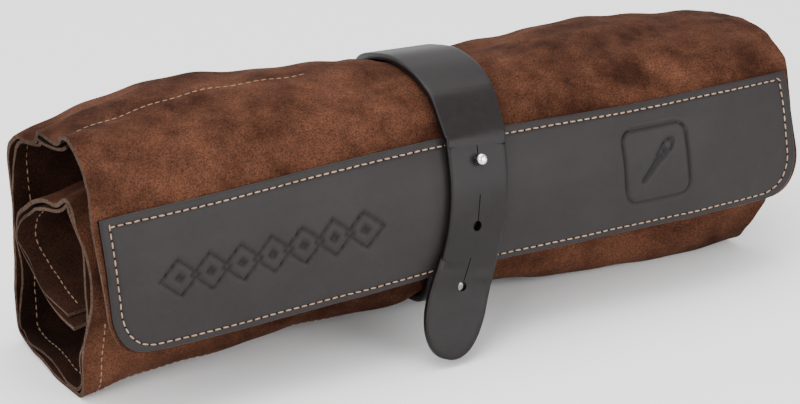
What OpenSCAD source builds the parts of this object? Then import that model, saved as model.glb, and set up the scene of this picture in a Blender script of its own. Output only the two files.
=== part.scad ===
/* [Sheet] */
// Length of the roll, along its axis
roll_len = 350; // [300:10:400]
// Thickness of the suede sheet
sheet_t = 2; // [1.6:0.1:2.2]
// Height of the front corner, where the flap turns down
top_front_h = 118; // [114:1:122]
// Height of the back corner
top_back_h = 99; // [97:1:102]
// Depth of the roll from its front face to its back face
roll_depth = 69; // [67:1:72]

/* [Pockets] */
// Depth of a pocket, from its mouth to its sewn end
pocket_len = 112; // [80:4:140]
// Thickness of the pocket panel
pocket_t = 1.6; // [1.2:0.1:1.8]
// Inside gap of a pocket on a level or upright wall
pocket_gap = 6.4; // [5.5:0.1:6.6]
// Inside gap of the pocket on the sloping top
top_pocket_gap = 9; // [8.6:0.1:9.4]

/* [Front band] */
// Width of the smooth leather band along the flap's edge
band_w = 60; // [56:1:60]
// Thickness of the band
band_t = 2; // [1.6:0.1:2]
// Radius of the band's two lower corners
band_corner_r = 20; // [10:1:26]
// Distance of the stitch row from the band's edge
stitch_inset = 4; // [3:0.5:6]

/* [Strap] */
// Width of the strap
strap_w = 31; // [28:1:33]
// Thickness of the strap
strap_t = 3.2; // [2.8:0.1:3.2]
// Place of the strap's middle along the roll
strap_x = 6; // [-20:1:40]
// Distance from one keyhole to the next
keyhole_pitch = 28; // [26:1:30]
// Radius of a keyhole, wide enough for the stud's head
keyhole_r = 3.9; // [3.9:0.1:4.2]
// Drop of the tail, from the flap's edge to the middle of its round tip
tail_run = 21.4; // [15:0.1:21.4]
// Lean of the strap's loose tail towards the left end, in degrees
tail_lean = 31; // [0:1:31]

/* [Stud] */
// Radius of the stud's round head
stud_head_r = 3.1; // [2.8:0.1:3.2]
// Radius of the stud's neck
stud_neck_r = 1.9; // [1.7:0.1:2]
// Distance of the stud below the band's top edge
stud_drop = 13; // [11:1:15]

/* [Hidden] */
$fn = 64;

x_left = -roll_len / 2;
x_right = roll_len / 2;
front_y = -13.3; // puts the middle of the whole object over the origin
back_y = front_y + roll_depth;
thread_w = 0.8;
thread_h = 0.4;
clearance = 0.3;
over = 1; // how far a cutting shape passes the faces it cuts

// Section of the roll, as its outer face runs from the flap's free edge to the innermost end
flap_edge = [front_y - 31, 36];
band_top = flap_edge + band_w * [0.2385, 0.9711];
top_front = [front_y + 6, top_front_h];
top_back = [back_y, top_back_h];
inner_front_h = 82;
inner_end_h = 44;
inner_back_y = front_y + 54;
inner_edge_y = front_y + 15;
section = [flap_edge, band_top, top_front, top_back, [back_y, 0], [front_y, 0], [front_y, inner_front_h],
           [inner_back_y, inner_front_h], [inner_back_y, inner_end_h], [inner_edge_y, inner_end_h]];

// The strap sits in a shallow channel where it passes under the roll
channel_h = 4;
channel_side = 2.5;
channel_x0 = strap_x - strap_w / 2 - channel_side;
channel_w = strap_w + 2 * channel_side;

// Line of the strap's inner face, from its riveted end, under the roll, up the back and over to the front
strap_off = band_t + thread_h + clearance;
band_dir = unit(band_top - flap_edge);
strap_bend = band_top + band_dir + strap_off * left(band_dir);
strap_edge = flap_edge + strap_off * left(band_dir);
corner_len = 10;
lift_line = top_front + corner_len * unit(strap_bend - top_front);
anchor_h = 31;
strap_line = [[front_y, anchor_h], [front_y, channel_h], [back_y, channel_h], top_back, top_front,
              lift_line, strap_bend, strap_edge];

// Pockets: the wall of the section that each is sewn to, and where it starts and ends along that wall
pockets = [[2, 6, 52, top_pocket_gap],
           [3, 13, 49, pocket_gap], [3, 49, 86, pocket_gap],
           [4, 12, 57, pocket_gap],
           [5, 13, 41, pocket_gap], [5, 41, 70, pocket_gap],
           [6, 12, 42, pocket_gap],
           [8, 10, 38, pocket_gap]];
pocket_end_x = x_left + 7;
pocket_end_w = 4;
pocket_mouth_x = pocket_end_x + pocket_end_w + pocket_len;
side_seam_w = 2;

// Stitch rows, by place along their wall
edge_row_s = pockets[0][1];
hem_row_x = pocket_end_x + 1;
hem_row_top = [8, 60];
hem_row_back = [8, 92];

stud_s = band_w - stud_drop;
stud_flange_h = 0.6;
stud_flange_r = stud_neck_r + 1.4;
stud_neck_h = strap_off - band_t + strap_t + 0.6;
stud_head_cut = 0.8 * stud_head_r; // the head is flattened this far above and below its middle
screw_r = 1.2;
screw_head_r = 4.5;
screw_head_t = 1.2;
screw_bite = 3; // length of the screw inside the stud
rivet_z = [11, 24];
rivet_r = 1.5;
rivet_head_r = 4.4;
rivet_head_t = 1;

suede = "#7a4630";
suede_inside = "#5d3423";
dark_leather = "#2e2420";
thread = "#b08a6a";
metal = "#c8c8cc";

function unit(v) = v / norm(v);
function left(v) = [-v[1], v[0]];

// Middle of the strap's leaning tail at a place s along the flap, which is negative below its edge
function tail_mid(s) = [strap_x + s * tan(tail_lean), s];

// Point of a line moved sideways by d at vertex i, mitred between its two neighbours
function mitre(line, i, d) =
    let (last = len(line) - 1,
         a = unit(line[max(i, 1)] - line[max(i, 1) - 1]),
         b = unit(line[min(i, last - 1) + 1] - line[min(i, last - 1)]))
    line[i] + d * (left(a) + left(b)) / (1 + a * b);

// Wall along one stretch of a line, between two sideways distances and two places along the roll
module wall(line, i, d0, d1, x0, x1)
    translate([x0, 0, 0])
        rotate([90, 0, 90])
            linear_extrude(x1 - x0)
                polygon([mitre(line, i, d0), mitre(line, i + 1, d0), mitre(line, i + 1, d1), mitre(line, i, d1)]);

// Puts its children on one stretch of the section: x along the roll, y along the wall, z outwards
module on_wall(i) {
    run = section[i + 1] - section[i];
    translate([0, section[i][0], section[i][1]])
        rotate([atan2(run[1], run[0]), 0, 0])
            children();
}

module sheet_wall(i) wall(section, i, 0, -sheet_t, x_left, x_right);

module strap_wall(i) wall(strap_line, i, 0, -strap_t, strap_x - strap_w / 2, strap_x + strap_w / 2);

module stud_hole()
    on_wall(0)
        translate([strap_x, stud_s, -sheet_t - over])
            cylinder(r = screw_r, h = sheet_t + band_t + 2 * over);

// Two rivet shafts through the strap's fixed end and the wall behind it
module rivet_shafts(from_y, to_y, r)
    for (z = rivet_z)
        translate([strap_x, from_y, z])
            rotate([-90, 0, 0])
                cylinder(r = r, h = to_y - from_y);

module strap_channel()
    translate([channel_x0, front_y - over, -over])
        cube([channel_w, roll_depth + 2 * over, channel_h + over]);

module sheet_flap_lower()
    color(suede)
        difference() {
            intersection() {
                sheet_wall(0);
                on_wall(0)
                    translate([0, 0, -sheet_t - over])
                        linear_extrude(sheet_t + 2 * over)
                            flap_outline(0, band_w + over);
            }
            stud_hole();
        }

module sheet_flap_upper() color(suede) sheet_wall(1);

module sheet_top() color(suede) sheet_wall(2);

module sheet_back()
    color(suede)
        difference() {
            sheet_wall(3);
            strap_channel();
        }

module sheet_bottom()
    color(suede) {
        difference() {
            sheet_wall(4);
            strap_channel();
        }
        translate([channel_x0 - sheet_t, front_y + sheet_t, 0])
            difference() {
                cube([channel_w + 2 * sheet_t, roll_depth - 2 * sheet_t, channel_h + sheet_t]);
                translate([sheet_t, -over, -over])
                    cube([channel_w, roll_depth, channel_h + over]);
            }
    }

module sheet_inner_front()
    color(suede_inside)
        difference() {
            sheet_wall(5);
            strap_channel();
            rivet_shafts(front_y - over, front_y + sheet_t + over, rivet_r);
        }

module sheet_inner_top() color(suede_inside) sheet_wall(6);

module sheet_inner_back() color(suede_inside) sheet_wall(7);

module sheet_inner_end() color(suede_inside) sheet_wall(8);

module pocket_wall(p)
    color(suede_inside)
        on_wall(p[0])
            translate([x_left, p[1], -sheet_t - p[3] - pocket_t])
                cube([pocket_mouth_x - x_left, p[2] - p[1], pocket_t]);

module pocket_end(p)
    color(suede_inside)
        on_wall(p[0])
            translate([pocket_end_x, p[1], -sheet_t - p[3]])
                cube([pocket_end_w, p[2] - p[1], p[3]]);

module pocket_sides(p)
    color(suede_inside)
        on_wall(p[0])
            for (y = [p[1], p[2] - side_seam_w / 2])
                translate([pocket_end_x + pocket_end_w, y, -sheet_t - p[3]])
                    cube([pocket_len, side_seam_w / 2, p[3]]);

module pocket_side_seams_top() pocket_sides(pockets[0]);

module pocket_side_seams_roll()
    for (k = [1 : len(pockets) - 1])
        pocket_sides(pockets[k]);

module stitch_row(i, x0, x1, y0, y1)
    color(thread)
        on_wall(i)
            translate([x0, y0, 0])
                cube([x1 - x0, y1 - y0, thread_h]);

module pocket_edge_stitching() stitch_row(2, x_left, pocket_mouth_x, edge_row_s, edge_row_s + thread_w);

module hem_stitching_top() stitch_row(2, hem_row_x, hem_row_x + thread_w, hem_row_top[0], hem_row_top[1]);

module hem_stitching_back() stitch_row(3, hem_row_x, hem_row_x + thread_w, hem_row_back[0], hem_row_back[1]);

// Outline of the band, drawn in from its edge and rounded at its two lower corners
module flap_outline(inset, top) {
    r = band_corner_r - inset;
    difference() {
        translate([x_left + inset, inset])
            square([roll_len - 2 * inset, top - 2 * inset]);
        for (side = [-1, 1])
            difference() {
                translate([side * (x_right - inset - r / 2), inset + r / 2])
                    square(r + 0.002, center = true);
                translate([side * (x_right - inset - r), inset + r])
                    circle(r);
                translate([side * (x_right - inset - r) - r, inset + r])
                    square([2 * r, r]);
                translate([side > 0 ? x_right - inset - 3 * r : x_left + inset + r, inset - r])
                    square([2 * r, 2 * r]);
            }
    }
}

module front_band()
    color(dark_leather)
        difference() {
            on_wall(0)
                linear_extrude(band_t)
                    flap_outline(0, band_w);
            stud_hole();
        }

module band_stitching()
    color(thread)
        on_wall(0)
            translate([0, 0, band_t])
                linear_extrude(thread_h)
                    difference() {
                        flap_outline(stitch_inset, band_w);
                        flap_outline(stitch_inset + thread_w, band_w);
                    }

module stud_button()
    color(metal)
        on_wall(0)
            translate([strap_x, stud_s, band_t])
                difference() {
                    union() {
                        cylinder(r = stud_flange_r, h = stud_flange_h);
                        cylinder(r = stud_neck_r, h = stud_neck_h + stud_head_r / 2);
                        translate([0, 0, stud_neck_h + stud_head_cut])
                            intersection() {
                                sphere(r = stud_head_r);
                                cylinder(r = stud_head_r + over, h = 2 * stud_head_cut, center = true);
                            }
                    }
                    translate([0, 0, -over])
                        cylinder(r = screw_r, h = screw_bite + over);
                }

module stud_screw()
    color(metal)
        on_wall(0)
            translate([strap_x, stud_s, -sheet_t - screw_head_t]) {
                cylinder(r = screw_head_r, h = screw_head_t);
                cylinder(r = screw_r, h = screw_head_t + sheet_t + band_t + screw_bite);
            }

module strap_anchor()
    color(dark_leather)
        difference() {
            strap_wall(0);
            rivet_shafts(front_y - strap_t - over, front_y + over, rivet_r);
        }

module strap_rivets()
    color(metal) {
        rivet_shafts(front_y - strap_t - rivet_head_t, front_y + sheet_t + rivet_head_t, rivet_r);
        rivet_shafts(front_y - strap_t - rivet_head_t, front_y - strap_t, rivet_head_r);
        rivet_shafts(front_y + sheet_t, front_y + sheet_t + rivet_head_t, rivet_head_r);
    }

module strap_under() color(dark_leather) strap_wall(1);

module strap_back() color(dark_leather) strap_wall(2);

module strap_over_top() color(dark_leather) strap_wall(3);

module strap_corner() color(dark_leather) strap_wall(4);

module strap_shoulder() color(dark_leather) strap_wall(5);

module strap_front()
    color(dark_leather)
        difference() {
            strap_wall(6);
            keyholes();
        }

// Outline of the tail: a leaning strip with a round tip, from the flap's edge down
module tail_outline()
    intersection() {
        union() {
            translate([strap_x, 0])
                circle(strap_w / 2);
            translate(tail_mid(-tail_run))
                circle(strap_w / 2);
            translate([strap_x, 0])
                rotate(-tail_lean)
                    translate([-strap_w / 2, -tail_run / cos(tail_lean)])
                        square([strap_w, tail_run / cos(tail_lean)]);
        }
        translate([strap_x - 2 * strap_w, -2 * strap_w])
            square([4 * strap_w, 2 * strap_w]);
    }

module strap_tail()
    color(dark_leather)
        on_wall(0)
            translate([0, 0, strap_off])
                linear_extrude(strap_t)
                    difference() {
                        tail_outline();
                        translate(tail_mid(stud_s - 2 * keyhole_pitch))
                            circle(keyhole_r);
                    }

module keyholes()
    on_wall(0)
        for (k = [0 : 1])
            translate([strap_x, stud_s - k * keyhole_pitch, strap_off - over])
                cylinder(r = keyhole_r, h = strap_t + 2 * over);

sheet_flap_lower();
sheet_flap_upper();
sheet_top();
sheet_back();
sheet_bottom();
sheet_inner_front();
sheet_inner_top();
sheet_inner_back();
sheet_inner_end();
pocket_wall(pockets[0]);  // pocket_1
pocket_wall(pockets[1]);  // pocket_2
pocket_wall(pockets[2]);  // pocket_3
pocket_wall(pockets[3]);  // pocket_4
pocket_wall(pockets[4]);  // pocket_5
pocket_wall(pockets[5]);  // pocket_6
pocket_wall(pockets[6]);  // pocket_7
pocket_wall(pockets[7]);  // pocket_8
pocket_end(pockets[0]);  // pocket_end_1
pocket_end(pockets[1]);  // pocket_end_2
pocket_end(pockets[2]);  // pocket_end_3
pocket_end(pockets[3]);  // pocket_end_4
pocket_end(pockets[4]);  // pocket_end_5
pocket_end(pockets[5]);  // pocket_end_6
pocket_end(pockets[6]);  // pocket_end_7
pocket_end(pockets[7]);  // pocket_end_8
pocket_side_seams_top();
pocket_side_seams_roll();
pocket_edge_stitching();
hem_stitching_top();
hem_stitching_back();
front_band();
band_stitching();
stud_button();
stud_screw();
strap_anchor();
strap_rivets();
strap_under();
strap_back();
strap_over_top();
strap_corner();
strap_shoulder();
strap_front();
strap_tail();
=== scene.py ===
import math
import bpy
import bmesh
import numpy as np
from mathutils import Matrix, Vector
from mathutils.bvhtree import BVHTree
from mathutils.geometry import delaunay_2d_cdt


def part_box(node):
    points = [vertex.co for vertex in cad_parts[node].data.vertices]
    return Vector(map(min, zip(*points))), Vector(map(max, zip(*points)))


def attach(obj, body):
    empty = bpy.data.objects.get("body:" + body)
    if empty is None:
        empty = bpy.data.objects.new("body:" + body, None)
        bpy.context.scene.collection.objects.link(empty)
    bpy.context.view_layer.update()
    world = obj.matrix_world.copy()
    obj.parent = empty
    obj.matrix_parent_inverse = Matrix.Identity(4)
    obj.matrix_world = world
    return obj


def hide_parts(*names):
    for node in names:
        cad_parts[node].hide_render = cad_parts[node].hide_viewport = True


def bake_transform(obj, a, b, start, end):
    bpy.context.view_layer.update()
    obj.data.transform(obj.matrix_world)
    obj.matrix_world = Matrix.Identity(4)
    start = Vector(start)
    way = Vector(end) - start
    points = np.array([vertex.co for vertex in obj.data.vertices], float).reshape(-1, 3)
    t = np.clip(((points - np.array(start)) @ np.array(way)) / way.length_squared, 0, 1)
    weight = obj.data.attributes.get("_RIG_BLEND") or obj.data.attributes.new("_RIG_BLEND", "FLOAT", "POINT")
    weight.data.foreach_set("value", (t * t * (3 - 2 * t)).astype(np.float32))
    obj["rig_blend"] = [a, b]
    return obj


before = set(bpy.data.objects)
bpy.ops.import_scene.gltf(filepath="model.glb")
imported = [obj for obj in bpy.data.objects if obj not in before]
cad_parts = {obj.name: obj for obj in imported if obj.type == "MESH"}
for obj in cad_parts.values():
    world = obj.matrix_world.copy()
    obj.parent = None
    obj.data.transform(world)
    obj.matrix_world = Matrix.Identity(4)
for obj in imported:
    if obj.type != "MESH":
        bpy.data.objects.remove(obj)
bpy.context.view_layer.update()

mm = 0.001
scene = bpy.context.scene

# places on the CAD frame that the soft pieces are laid out from, in mm
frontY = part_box("sheet_inner_front")[0][1] / mm
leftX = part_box("sheet_top")[0][0] / mm
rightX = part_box("sheet_top")[1][0] / mm
strapX = (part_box("strap_under")[0][0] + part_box("strap_under")[1][0]) / 2 / mm
print("frame: front", round(frontY, 1), "ends", round(leftX, 1), round(rightX, 1), "strap",
    round(strapX, 1))

cameraSetup = {"azimuth": -28.93, "elevation": 23.77, "distance": 1.5, "lens": 149.85,
               "target": (-0.00232, 0.0197, 0.04472)}
studioLights = {  # place, the point it is aimed at, size, power
    "topLight": ((-0.1, 0.15, 1.3), (0, 0, 0.05), (1.6, 1.1), 25),
    "leftLight": ((-1.2, -0.75, 0.75), (0, 0, 0.05), (0.9, 0.9), 17),
    "frontLight": ((0.55, -1.25, 0.5), (0, 0, 0.06), (0.9, 0.7), 13)}


def makeCamera(s):
    a, e = math.radians(s["azimuth"]), math.radians(s["elevation"])
    back = Vector((math.sin(a) * math.cos(e), -math.cos(a) * math.cos(e), math.sin(e)))
    data = bpy.data.cameras.new("camera")
    data.lens = s["lens"]
    data.sensor_width = 36.0
    data.clip_start = 0.05
    data.clip_end = 20.0
    camera = bpy.data.objects.new("camera", data)
    scene.collection.objects.link(camera)
    camera.location = Vector(s["target"]) + back * s["distance"]
    camera.rotation_euler = back.to_track_quat("Z", "Y").to_euler()
    scene.camera = camera


def makeLight(name, place, aim, size, power):
    data = bpy.data.lights.new(name, "AREA")
    data.shape = "RECTANGLE"
    data.size, data.size_y = size
    data.energy = power
    light = bpy.data.objects.new(name, data)
    scene.collection.objects.link(light)
    light.location = place
    light.rotation_euler = (Vector(place) - Vector(aim)).to_track_quat("Z", "Y").to_euler()


makeCamera(cameraSetup)
for lightName, setup in studioLights.items():
    makeLight(lightName, *setup)
world = bpy.data.worlds.new("studio")
scene.world = world
world.use_nodes = True
skyLight = world.node_tree.nodes["Background"]
skyLight.inputs["Color"].default_value = (1, 1, 1, 1)
skyLight.inputs["Strength"].default_value = 1.02

def newMaterial(name):
    material = bpy.data.materials.new(name)
    material.use_nodes = True
    shader = material.node_tree.nodes["Principled BSDF"]
    return material, material.node_tree, shader


def feed(tree, node, values):  # a socket is linked, anything else is set
    for key, value in values.items():
        if isinstance(value, bpy.types.NodeSocket):
            tree.links.new(value, node.inputs[key])
        else:
            node.inputs[key].default_value = value


def addNode(tree, kind, values=None, **settings):
    node = tree.nodes.new(kind)
    for key, value in settings.items():
        setattr(node, key, value)
    feed(tree, node, values or {})
    return node


def addRamp(tree, source, dark, light, spread=0.5):
    ramp = addNode(tree, "ShaderNodeValToRGB", {"Fac": source})
    for element, side, colour in zip(ramp.color_ramp.elements, (-1, 1), (dark, light)):
        element.position = 0.5 + side * spread
        element.color = (*colour, 1)
    return ramp.outputs["Color"]


def makeGrainGroup():  # patches, streaks and fine grain shared by every leather and thread
    group = bpy.data.node_groups.new("surfaceGrain", "ShaderNodeTree")
    inputs = {"Patch Scale": 20.0, "Streak Scale": 90.0, "Grain Scale": 1200.0, "Grain Mix": 0.5}
    for name, value in inputs.items():
        socket = group.interface.new_socket(name, in_out="INPUT", socket_type="NodeSocketFloat")
        socket.default_value = value
    for name in ("Patches", "Grain", "Height"):
        group.interface.new_socket(name, in_out="OUTPUT", socket_type="NodeSocketFloat")
    start = group.nodes.new("NodeGroupInput")
    coords = group.nodes.new("ShaderNodeTexCoord")
    noises = []
    for socket, detail, rough in (("Patch Scale", 4.0, 0.55), ("Streak Scale", 5.0, 0.62),
        ("Grain Scale", 3.0, 0.7)):
        noise = addNode(group, "ShaderNodeTexNoise", {
            "Vector": coords.outputs["Object"], "Scale": start.outputs[socket], "Detail": detail,
                "Roughness": rough})
        noises.append(noise.outputs["Fac"])
    patch, streak, grain = noises
    large = addNode(group, "ShaderNodeMix", {0: 0.45, 2: patch, 3: streak})
    fine = addNode(group, "ShaderNodeMix", {0: start.outputs["Grain Mix"], 2: streak, 3: grain})
    addNode(group, "NodeGroupOutput", {"Patches": large.outputs[0], "Grain": grain,
        "Height": fine.outputs[0]})
    return group


grainGroup = makeGrainGroup()


def grainedMaterial(name, s):
    material, tree, shader = newMaterial(name)
    grain = addNode(tree, "ShaderNodeGroup", {
        "Patch Scale": s["patch"], "Streak Scale": s["streak"], "Grain Scale": s["grain"],
            "Grain Mix": s["mix"]},
        node_tree=grainGroup)
    patches = addRamp(tree, grain.outputs["Patches"], s["dark"], s["light"], s["contrast"])
    speckle = addNode(tree, "ShaderNodeMapRange", {
        "Value": grain.outputs["Grain"], "From Min": 0.3, "From Max": 0.72,
        "To Min": s["speckle"][0], "To Max": s["speckle"][1]})
    tint = addNode(tree, "ShaderNodeVectorMath", {0: patches, "Scale": speckle.outputs["Result"]},
        operation="SCALE")
    grooveShade = addNode(tree, "ShaderNodeAttribute", attribute_name="grooveShade")
    grooveShadeColour = tuple(c * 0.3 for c in s["dark"]) + (1,)  # painted shade: the pressed motif and seam groove are darkened to 0.3 of the dark tone
    grooveShadeMix = addNode(tree, "ShaderNodeMix", data_type="RGBA")
    feed(tree, grooveShadeMix, {0: grooveShade.outputs["Fac"], 6: tint.outputs["Vector"], 7: grooveShadeColour})
    rough = addNode(tree, "ShaderNodeMapRange", {
        "Value": grain.outputs["Height"], "To Min": s["rough"][0], "To Max": s["rough"][1]})
    bump = addNode(tree, "ShaderNodeBump", {
        "Height": grain.outputs["Height"], "Strength": s["bump"], "Distance": s["bumpHeight"]})
    feed(tree, shader, {
        "Base Color": grooveShadeMix.outputs[2], "Roughness": rough.outputs["Result"],
            "Normal": bump.outputs["Normal"],
        "Specular IOR Level": s["specular"], "Sheen Weight": s["sheen"], "Sheen Roughness": 0.45,
        "Sheen Tint": (*s["light"], 1)})
    return material


suedeLook = {
    "dark": (0.0225, 0.0066, 0.0027), "light": (0.084, 0.0325, 0.0172), "patch": 16.0, "streak": 70.0,
        "grain": 1250.0,
    "mix": 0.7, "contrast": 0.105, "speckle": (0.36, 1.85), "rough": (0.85, 1.0), "bump": 0.9,
        "bumpHeight": 0.0012,
    "specular": 0.1, "sheen": 0.12,
}
# painted shade: the sheet's inner faces and the pocket panels get this copy of the suede at about a third of
# its brightness, standing in for the shade inside the roll
suedeShadedInsideLook = dict(suedeLook, dark=(0.0075, 0.0024, 0.0012), light=(0.027, 0.0100, 0.0054), sheen=0.06)
suedeEdgeLook = dict(suedeLook, dark=(0.032, 0.0165, 0.0105), light=(0.075, 0.046, 0.032),
    streak=420.0, sheen=0.05)
leatherLook = {
    "dark": (0.0125, 0.0098, 0.0101), "light": (0.0185, 0.0150, 0.0154), "patch": 30.0,
        "streak": 240.0, "grain": 1900.0,
    "mix": 0.75, "contrast": 0.2, "speckle": (0.82, 1.16), "rough": (0.42, 0.58), "bump": 0.16,
        "bumpHeight": 0.0004,
    "specular": 0.2, "sheen": 0.0,
}
strapLook = dict(leatherLook, dark=(0.0070, 0.0053, 0.0055), light=(0.0128, 0.0101, 0.0105),
    rough=(0.33, 0.46), specular=0.18)
leatherEdgeLook = dict(leatherLook, dark=(0.003, 0.0022, 0.002), light=(0.006, 0.0045, 0.004),
    rough=(0.3, 0.5), bump=0.35)
fleshLook = dict(leatherLook, dark=(0.014, 0.009, 0.0075), light=(0.028, 0.02, 0.017), rough=(0.7,
    0.95), bump=0.6)
threadLook = {
    "dark": (0.22, 0.135, 0.085), "light": (0.36, 0.25, 0.175), "patch": 60.0, "streak": 500.0,
        "grain": 4200.0,
    "mix": 0.6, "contrast": 0.16, "speckle": (0.75, 1.2), "rough": (0.6, 0.85), "bump": 0.5,
        "bumpHeight": 0.0002,
    "specular": 0.3, "sheen": 0.1,
}
wornThreadLook = dict(threadLook, dark=(0.12, 0.062, 0.036), light=(0.26, 0.165, 0.11))
suede = grainedMaterial("suede", suedeLook)
suedeShadedInside = grainedMaterial("suedeShadedInside", suedeShadedInsideLook)
suedeEdge = grainedMaterial("suedeEdge", suedeEdgeLook)
leather = grainedMaterial("smoothLeather", leatherLook)
strapLeather = grainedMaterial("strapLeather", strapLook)
leatherEdge = grainedMaterial("paintedEdge", leatherEdgeLook)
leatherFlesh = grainedMaterial("leatherFlesh", fleshLook)
threadMaterial = grainedMaterial("thread", threadLook)
wornThread = grainedMaterial("wornThread", wornThreadLook)


def objectNoise(tree, values):
    coords = addNode(tree, "ShaderNodeTexCoord")
    return addNode(tree, "ShaderNodeTexNoise", {"Vector": coords.outputs["Object"],
        **values}).outputs["Fac"]


def metalMaterial():
    material, tree, shader = newMaterial("polishedMetal")
    scratches = objectNoise(tree, {"Scale": 900.0, "Detail": 4.0, "Distortion": 1.5})
    rough = addNode(tree, "ShaderNodeMapRange", {
        "Value": scratches, "From Min": 0.3, "From Max": 0.7, "To Min": 0.09, "To Max": 0.26})
    colour = addRamp(tree, scratches, (0.62, 0.62, 0.64), (0.86, 0.86, 0.88))
    feed(tree, shader, {"Base Color": colour, "Roughness": rough.outputs["Result"], "Metallic": 1.0})
    return material


# painted shade: near-black dots stand in for the shade inside the needle holes, which are not modelled
def holeShadeMaterial():
    material, tree, shader = newMaterial("needleHoleShade")
    colour = addRamp(tree, objectNoise(tree, {"Scale": 2000.0}), (0.003, 0.002, 0.002), (0.007, 0.005,
        0.004))
    feed(tree, shader, {"Base Color": colour, "Roughness": 0.95, "Specular IOR Level": 0.05})
    return material


def floorMaterial():
    material, tree, shader = newMaterial("paleFloor")
    feed(tree, shader, {"Base Color": (0.93, 0.93, 0.93, 1), "Roughness": 0.85, "Specular IOR Level": 0.1})
    return material


metal = metalMaterial()
needleHoleShade = holeShadeMaterial()


def makeFloor():
    mesh = bpy.data.meshes.new("floor")
    size = 6.0
    corners = [(-size, -size, 0), (size, -size, 0), (size, size, 0), (-size, size, 0)]
    mesh.from_pydata(corners, [], [(0, 1, 2, 3)])
    mesh.materials.append(floorMaterial())
    floor = bpy.data.objects.new("floor", mesh)
    scene.collection.objects.link(floor)


makeFloor()
print("camera, light, materials and floor made")

# Sections of the roll's outer face, from the flap's free edge to the innermost end: depth behind the
# front-bottom corner and height, in mm
leftEnd = [
    (-31, 34), (-28, 53.5), (-24, 73), (-18.5, 92.2), (-15, 105), (-6, 115), (5, 120.8), (18, 114.8),
    (34, 109), (48, 103.5), (63, 99.5), (74, 89), (72.5, 65), (70.5, 38), (72, 18), (71, 4), (60, 0.6),
    (42, 1.2), (24, 0.4), (8, 0.3), (1, 8), (-2, 24), (-10, 38), (-13, 58), (-8, 77), (2, 89), (18, 88),
    (34, 81), (52, 75), (65, 63), (66, 48), (50, 39.5), (30, 34.5), (6, 32.5)]
leftFull = [
    (-31, 35), (-28.5, 54.5), (-24, 74), (-17.5, 93), (-9, 105), (2, 113.5), (14, 118), (28, 120),
    (42, 119), (58, 115.5), (68, 107), (74, 94), (76, 72), (75, 46), (74, 22), (71, 6), (58, 0.8),
    (40, 1), (24, 1.4), (10, 4.5), (-1, 12), (-5, 26), (-7, 42), (-6, 60), (1, 75), (13, 85), (28, 87),
    (44, 83), (55, 75), (60, 64), (56, 53), (41, 45), (24, 40), (9, 36)]
leftWaist = [
    (-30, 37), (-28.5, 57), (-24, 76.5), (-16, 94.5), (-8, 105), (2, 112), (14, 115.5), (28, 116.5),
    (43, 115.5), (59, 112), (69, 104.5), (74, 92), (75, 68), (74, 42), (72, 22), (68, 9), (56, 4),
    (41, 3), (27, 3.5), (13, 7), (1, 14), (-4, 28), (-6, 44), (-5, 60), (1, 75), (13, 84), (28, 86),
    (44, 82), (54, 74), (58, 63), (54, 52), (40, 45), (24, 40), (10, 36)]
strapPlace = [
    (-27, 37.5), (-27.5, 57.5), (-23.5, 77), (-14.5, 94.3), (-7, 103.5), (2, 109.5), (13, 112.5),
    (27, 112.5), (42, 110), (58, 105), (66, 98), (70.5, 88), (71, 64), (70, 40), (68.5, 24), (66, 14),
    (56, 9.5), (40, 9), (24, 9), (10, 9.5), (1, 14), (-3, 26), (-4, 42), (-3, 56), (2, 70), (13, 80),
    (28, 82), (44, 79), (52, 71), (54, 61), (49, 51), (38, 45), (24, 40), (11, 36)]
rightFull = [
    (-29, 37.3), (-28, 57), (-24, 76.5), (-16.5, 92), (-9.5, 101), (1, 107.5), (13, 110), (27, 111),
    (42, 109.5), (58, 105.5), (68, 98), (73.5, 88), (75, 68), (75, 44), (73, 22), (69, 6), (57, 1),
    (38, 0.6), (20, 0.6), (8, 1.4), (-0.5, 9), (-3, 24), (-5, 43), (-4, 60), (2, 74), (13, 83),
    (28, 84), (44, 81), (54, 74), (57, 63), (52, 52), (38, 45), (22, 40), (10, 36)]
rightEnd = [
    (-27.5, 36), (-25.5, 55.5), (-21, 74), (-14, 91.3), (-8, 97.5), (1, 101.3), (11, 103.3),
    (24, 103.8), (40, 101.8), (57, 96.3), (69, 89), (74, 78), (75.5, 60), (74, 40), (72, 21), (67, 6),
    (56, 1), (38, 0.6), (18, 0.6), (5, 1), (-2, 8), (-4, 22), (-4, 40), (-2, 55), (4, 67), (14, 75),
    (28, 77), (44, 75), (54, 69), (56, 60), (50, 50), (38, 44), (22, 40), (10, 36)]
stationX = np.array([leftX, leftX + 55, strapX - 61, strapX, strapX + 89, rightX])
# inset of the sheet's right edge from the roll's right end
rightInset = [
    2, 2, 2, 1, 0, 0, 0, 0, 0, 0, 1, 2, 4, 7, 10, 12, 13, 13, 13, 13, 12, 1, 0, 0, 1, 2, 2, 3, 3, 2, 2,
        3, 4, 5]

floorGap = 0.25
rollShape = {"sheet": 1.9, "pocketPanel": 1.5, "pinch": 1.5, "step": 2.6}
lastKnot = len(leftFull) - 1
sections = [np.array(s, float) for s in (leftEnd, leftFull, leftWaist, strapPlace, rightFull, rightEnd)]


def smoothStep(t):
    t = np.clip(t, 0, 1)
    return t * t * (3 - 2 * t)


def hermite(t, p1, m1, p2, m2):
    t2, t3 = t * t, t * t * t
    return (2 * t3 - 3 * t2 + 1) * p1 + (t3 - 2 * t2 + t) * m1 + (3 * t2 - 2 * t3) * p2 + (t3 - t2) * m2


def curveThrough(points, s):  # smooth line through points, at knot numbers s
    s = np.asarray(s, float)
    last = len(points) - 1
    i = np.clip(np.floor(s).astype(int), 0, last - 1)
    p0, p1 = points[np.maximum(i - 1, 0)], points[i]
    p2, p3 = points[i + 1], points[np.minimum(i + 2, last)]
    return hermite((s - i)[..., None], p1, (p2 - p0) / 2, p2, (p3 - p1) / 2)


def runLengths(points):
    return np.concatenate([[0], np.cumsum(np.linalg.norm(np.diff(points, axis=0), axis=1))])


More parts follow.
